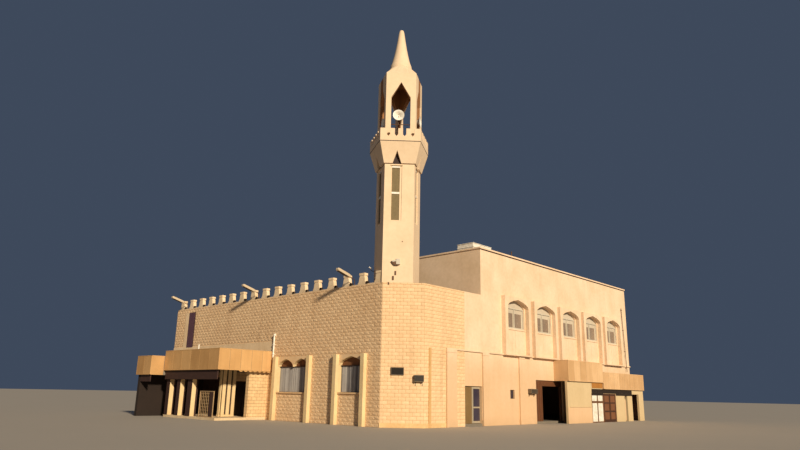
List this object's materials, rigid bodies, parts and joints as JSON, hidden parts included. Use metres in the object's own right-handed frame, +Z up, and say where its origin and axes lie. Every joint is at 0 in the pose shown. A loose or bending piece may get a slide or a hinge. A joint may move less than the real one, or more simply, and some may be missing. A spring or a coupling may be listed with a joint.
{
  "type": "corner mosque building",
  "caption": "Corner mosque with a pentagonal minaret, block-faced wing with battlements, tall hall block, fascia canopies and hinged entrance doors.",
  "frame": {"origin": "ground level under the middle of the whole outline", "axes": "+X along the right-hand street facade away from the minaret corner, +Y along the left-hand facade away from the minaret corner, +Z up"},
  "size_m": [33.61, 25.85, 24.8],
  "materials": {
    "block": "split-face concrete block, sand coloured",
    "plaster": "painted cement plaster, cream",
    "concrete": "cast concrete",
    "fascia": "painted sheet, tan",
    "glass": "window glass, blinds behind",
    "metal": "anodised, dusty",
    "timber": "stained, weathered",
    "enamel": "white paint, dusty"
  },
  "bodies": {
    "building": {"ground_floor": "concrete", "gallery_floor": "concrete", "low_roof": "concrete", "hall_roof": "concrete", "porch_floor": "concrete", "left_wall_near": "block", "left_wall_far": "block", "corner_wall": "block", "right_wall_near": "block", "back_wall": "block", "door_head_wall": "plaster", "right_wall_middle": "plaster", "portal_head_wall": "plaster", "right_wall_far": "plaster", "end_wall": "plaster", "hall_back_wall": "plaster", "hall_side_wall": "plaster", "battlements": "plaster", "hall_coping": "plaster", "facade_trim": "plaster", "bay_1_surround": "plaster", "bay_2_surround": "plaster", "porch_piers": "plaster", "porch_side_wall": "plaster", "porch_end_wall": "plaster", "entrance_screen_wall": "plaster", "entrance_front": "plaster", "minaret_foot": "plaster", "minaret_shaft": "plaster", "minaret_flare": "plaster", "balcony_parapet": "plaster", "lantern": "plaster", "lantern_roof": "plaster", "spire": "plaster", "canopy_1": "fascia", "canopy_2": "fascia", "entrance_canopy_left": "fascia", "entrance_canopy_right": "fascia", "window_pane_1": "glass", "window_pane_2": "glass", "slit_pane": "glass", "hall_glass": "glass", "back_glass": "glass", "end_glass": "glass", "slot_screens": "metal", "porch_railing": "metal", "glazed_screen": "metal", "cooling_unit_1": "metal", "cooling_unit_2": "metal", "portal_frame": "timber", "loudspeakers": "enamel", "floodlight_1": "enamel", "floodlight_2": "enamel", "floodlight_3": "enamel", "roof_tank": "enamel", "hall_end_glass": "glass"},
    "left_metal_leaf": {"metal_door_left": "metal"},
    "right_metal_leaf": {"metal_door_right": "metal"},
    "left_timber_leaf": {"timber_door_left": "timber"},
    "right_timber_leaf": {"timber_door_right": "timber"}
  },
  "joints": [
    {"name": "left_metal_hinge", "type": "hinge", "parent": "building", "child": "left_metal_leaf", "pos_m": [-6.445, -11.61, 0], "axis": [0, 0, 1], "range_deg": [0, 90]},
    {"name": "right_metal_hinge", "type": "hinge", "parent": "building", "child": "right_metal_leaf", "pos_m": [-4.765, -11.61, 0], "axis": [0, 0, -1], "range_deg": [0, 90]},
    {"name": "left_timber_hinge", "type": "hinge", "parent": "building", "child": "left_timber_leaf", "pos_m": [9.405, -12.755, 0], "axis": [0, 0, -1], "range_deg": [0, 90]},
    {"name": "right_timber_hinge", "type": "hinge", "parent": "building", "child": "right_timber_leaf", "pos_m": [11.535, -12.755, 0], "axis": [0, 0, 1], "range_deg": [0, 90]}
  ]
}
